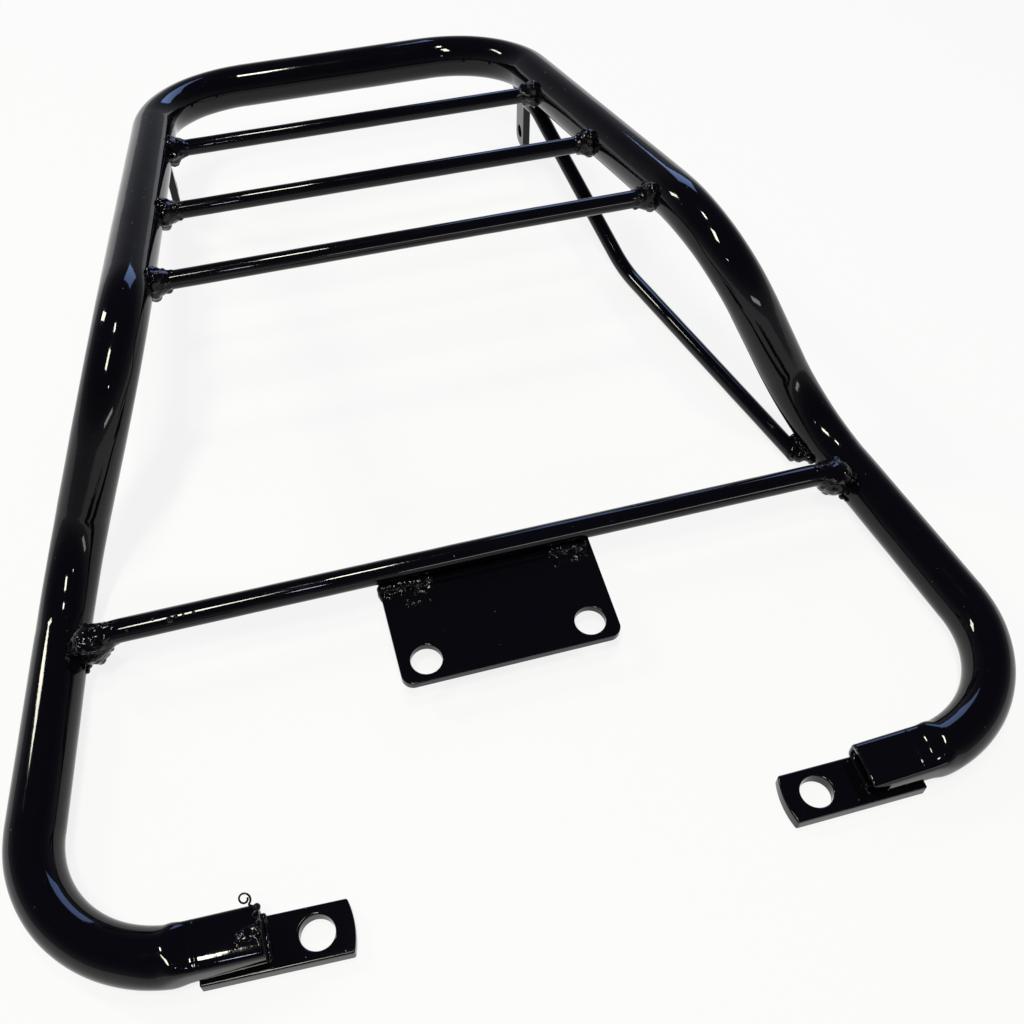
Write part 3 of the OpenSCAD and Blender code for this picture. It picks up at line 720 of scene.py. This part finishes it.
# Rear tabs: small 4 mm flat lugs with a hole, hanging from the side tubes behind the rear
# rod, sheared from strip and welded along their inner side.
TAB_X, TAB_T, TAB_W, TAB_Y, TAB_LOW, TAB_CORNER_R = 98.0, 4.0, 14.0, 36.0, 10.0, 5.0
TAB_HOLE_R, TAB_HOLE_UP, TAB_EASE = 3.5, 9.0, 0.4
TAB_WELD_DROPS, TAB_WELD_SHARE = 10, 0.85
tab_at = (TAB_Y + TAB_W / 2) / math.cos(PLATFORM_FALL)
tube_under = HOOP_Z + tab_at * math.sin(PLATFORM_FALL) - TUBE_R / math.cos(PLATFORM_FALL)
TAB_TOP = tube_under - TAB_LOW
TAB_RISE = TAB_W * math.tan(PLATFORM_FALL)
tab_outline = (
    arc(TAB_CORNER_R - TAB_W / 2, TAB_CORNER_R, TAB_CORNER_R, 180, 270, 8)
    + arc(TAB_W / 2 - TAB_CORNER_R, TAB_CORNER_R, TAB_CORNER_R, 270, 360, 8)
    + [(TAB_W / 2, TAB_TOP - TAB_RISE), (-TAB_W / 2, TAB_TOP)]
)
tab_hole = arc(0, TAB_HOLE_UP, TAB_HOLE_R, 0, 350, 35)
stand_up = Matrix.Rotation(math.radians(90), 4, "Z") @ Matrix.Rotation(math.radians(90), 4, "X")
right_tab = Matrix.Translation((TAB_X, HOOP_Y - TAB_Y, TAB_LOW)) @ stand_up
for side_name, place in (("right", right_tab), ("left", mirror @ right_tab)):
    flat_bar(side_name + "_rear_tab_lug", tab_outline, [tab_hole], TAB_T, place,
             plate_enamel, [side_name + "_rear_tab"], ease=TAB_EASE)
    rng = random.Random("tab" + side_name)
    sign = 1 if side_name == "right" else -1
    drops = []
    for k in range(TAB_WELD_DROPS):
        along = k / (TAB_WELD_DROPS - 1) - 0.5
        x = sign * (TAB_X - rng.uniform(0.6, 1.8))
        y = HOOP_Y - TAB_Y + TAB_W * along * TAB_WELD_SHARE
        z = TAB_LOW + TAB_TOP - TAB_RISE * (0.5 + along * TAB_WELD_SHARE) - 0.4
        drops.append((Vector((x, y, z)), rng.uniform(1.6, 2.3)))
    weld_piece("tab_%s_weld_bead" % side_name, drops, ["tab_%s_weld" % side_name],
               seed=rng.randint(1, 90))

# Curl of welding wire stuck in the paint at the left tube end: 0.9 mm steel wire that rolled
# up into a hook, enamelled over with the rest.
CURL_R, CURL_WIRE_R = 2.1, 0.45
CURL_FROM, CURL_TURN, CURL_STEPS = -40, 420, 56
CURL_OFF, WIRE_UP = 3.4, 1.35
LYING_L, LYING_STEPS, STEM_STEPS = 9.0, 18, 8
curl_foot = Vector((-TUBE_END_X - 1.5, end_y + 7.5, 15.6))
lean_side, lean_up = Vector((0.96, -0.28, 0.0)), Vector((0.22, 0.76, 0.61))
curl = []
for k in range(CURL_STEPS + 1):
    t = k / CURL_STEPS
    turn = math.radians(CURL_FROM + CURL_TURN * t)
    reach = CURL_R * (1.1 - 0.5 * t)
    curl.append(lean_side * (-CURL_OFF + reach * math.cos(turn))
                + lean_up * (CURL_OFF + reach * math.sin(turn)) + Vector((0, 0, 0.6 * t)))
# The wire first wanders along the tube's mouth, then stands up into the hook
lying = [Vector((0.8 * math.sin(k * 0.9), -LYING_L + LYING_L * k / LYING_STEPS, WIRE_UP))
         for k in range(LYING_STEPS)]
stem = [Vector((0, 0, WIRE_UP)).lerp(curl[0], k / STEM_STEPS)
        + Vector((0.4 * math.sin(k * 0.8), 0, 0)) for k in range(STEM_STEPS)]
wire = [curl_foot + p for p in lying + stem + curl]
places = []
for i, p in enumerate(wire):
    ahead = wire[min(i + 1, len(wire) - 1)] - wire[max(i - 1, 0)]
    places.append((p, ahead.normalized(), 0.0))
round_bar("wire_curl", places, CURL_WIRE_R, weld_enamel, [], sides=12, waver=0.12)

# Studio: a broad floor of matt white paper that shows nearly white and keeps a faint
# shadow, small warm ceiling lamps, a bluish window behind and a small lamp by the lens.
FLOOR, FLOOR_FIBRE = "#F1F1F0", "#EFEFEE"
FLOOR_HALF, FIBRE_MM = 25.0, 2
FLOOR_GLOW = 0.85
floor_mesh = bpy.data.meshes.new("studio_floor")
floor_mesh.from_pydata(
    [(-FLOOR_HALF, -FLOOR_HALF, 0), (FLOOR_HALF, -FLOOR_HALF, 0), (FLOOR_HALF, FLOOR_HALF, 0),
     (-FLOOR_HALF, FLOOR_HALF, 0)], [], [(0, 1, 2, 3)])
floor = bpy.data.objects.new("studio_floor", floor_mesh)
bpy.context.scene.collection.objects.link(floor)
# Matt white paper: an even, nearly white ground without gloss, in which only the rack's faint
# shadow shows. Its fibres are too fine to show, so they are drawn as clouds 2 mm wide.
paper = bpy.data.materials.new("matt white paper")
paper.use_nodes = True
tree = paper.node_tree
tree.nodes.clear()
place = add_node(tree, "ShaderNodeTexCoord").outputs["Object"]
fibre = add_node(tree, "ShaderNodeTexNoise",
                 {"Vector": place, "Scale": 1 / (FIBRE_MM * MM), "Detail": 2.0})
tone = add_node(tree, "ShaderNodeMix",
                {"Factor": fibre.outputs["Fac"], "A": linear(FLOOR), "B": linear(FLOOR_FIBRE)},
                data_type="RGBA")
lit = add_node(tree, "ShaderNodeBsdfDiffuse", {"Color": tone.outputs["Result"]})
glow = add_node(tree, "ShaderNodeEmission", {"Color": linear("#FFFFFF"), "Strength": 1.0})
ray = add_node(tree, "ShaderNodeLightPath")
seen = add_node(tree, "ShaderNodeMath",
                {0: ray.outputs["Is Camera Ray"], 1: ray.outputs["Is Glossy Ray"]},
                operation="MAXIMUM")
seen = add_node(tree, "ShaderNodeMath",
                {0: seen.outputs[0], 1: ray.outputs["Is Transmission Ray"]}, operation="MAXIMUM")
share = add_node(tree, "ShaderNodeMath", {0: seen.outputs[0], 1: FLOOR_GLOW},
                 operation="MULTIPLY")
both = add_node(tree, "ShaderNodeMixShader",
                {0: share.outputs[0], 1: lit.outputs[0], 2: glow.outputs[0]})
add_node(tree, "ShaderNodeOutputMaterial", {"Surface": both.outputs[0]})
floor_mesh.materials.append(paper)


def lamp(name, location, width, height, power, colour):
    """Rectangular soft lamp in metres and watts, aimed at the floor under the rack's middle."""
    data = bpy.data.lights.new(name, "AREA")
    data.shape, data.size, data.size_y = "RECTANGLE", width, height
    data.energy, data.color = power, linear(colour)[:3]
    lamp_object = bpy.data.objects.new(name, data)
    bpy.context.scene.collection.objects.link(lamp_object)
    aim = Vector(location).to_track_quat("Z", "Y").to_matrix().to_4x4()
    lamp_object.matrix_world = Matrix.Translation(location) @ aim


WARM, WARM_STRIP, SKY, LENS_LIGHT = "#FFFBE8", "#FFFDF6", "#99BAFF", "#DCE6FF"
lamp("ceiling_lamp_front", (-0.325, -0.563, 1.785), 0.2, 0.5, 17, WARM)
lamp("ceiling_lamp_back", (0.02, 0.16, 1.9), 0.12, 0.24, 7, WARM)
lamp("ceiling_lamp_left", (-1.29, 1.16, 1.355), 0.2, 0.5, 12, WARM)
lamp("low_strip", (0.76, -2.83, 0.62), 1.2, 0.25, 7.5, WARM_STRIP)
lamp("window", (1.10, 2.36, 1.5), 1.2, 1.1, 21, SKY)
flash_data = bpy.data.lights.new("flash", "POINT")
flash_data.energy, flash_data.shadow_soft_size = 0.35, 0.01
flash_data.color = linear(LENS_LIGHT)[:3]
flash = bpy.data.objects.new("flash", flash_data)
bpy.context.scene.collection.objects.link(flash)
flash.location = (-0.075, -0.400, 0.462)

# Room: pale grey near the floor, darker and bluish towards the ceiling
world = bpy.data.worlds.new("studio air")
world.use_nodes = True
tree = world.node_tree
tree.nodes.clear()
place = add_node(tree, "ShaderNodeTexCoord").outputs["Generated"]
way = add_node(tree, "ShaderNodeSeparateXYZ", {0: place})
rise = add_node(tree, "ShaderNodeValToRGB", {"Fac": way.outputs["Z"]})
steps = rise.color_ramp.elements
steps[0].position, steps[0].color = 0.0, linear("#A2A5AC")
steps[1].position, steps[1].color = 1.0, linear("#3C3C4B")
for height, colour in ((0.42, "#57575F"), (0.70, "#38384C")):
    steps.new(height).color = linear(colour)
air = add_node(tree, "ShaderNodeBackground", {"Color": rise.outputs["Color"], "Strength": 1.0})
add_node(tree, "ShaderNodeOutputWorld", {"Surface": air.outputs[0]})
bpy.context.scene.world = world

# The photograph's camera: a view from in front and above at close range, fitted to the rack
SENSOR, FOCAL_PX, FRAME_PX = 36.0, 1200.2, 1024
YAW, PITCH, ROLL = 0.2898, 0.9172, 0.0171
eye = Vector((-73.16, -380.49, 435.74)) * MM
forward = Vector((math.sin(YAW) * math.cos(PITCH), math.cos(YAW) * math.cos(PITCH),
                  -math.sin(PITCH)))
right = Vector((math.cos(YAW), -math.sin(YAW), 0))
above = right.cross(forward)
camera_right = right * math.cos(ROLL) + above * math.sin(ROLL)
camera_up = above * math.cos(ROLL) - right * math.sin(ROLL)
camera_data = bpy.data.cameras.new("camera")
camera_data.sensor_width, camera_data.lens = SENSOR, FOCAL_PX / FRAME_PX * SENSOR
camera_data.clip_start, camera_data.clip_end = 0.01, 50
camera = bpy.data.objects.new("camera", camera_data)
bpy.context.scene.collection.objects.link(camera)
camera.matrix_world = Matrix.Translation(eye) @ Matrix(
    (camera_right, camera_up, -forward)).transposed().to_4x4()
bpy.context.scene.camera = camera
bpy.context.scene.view_settings.view_transform = "Standard"
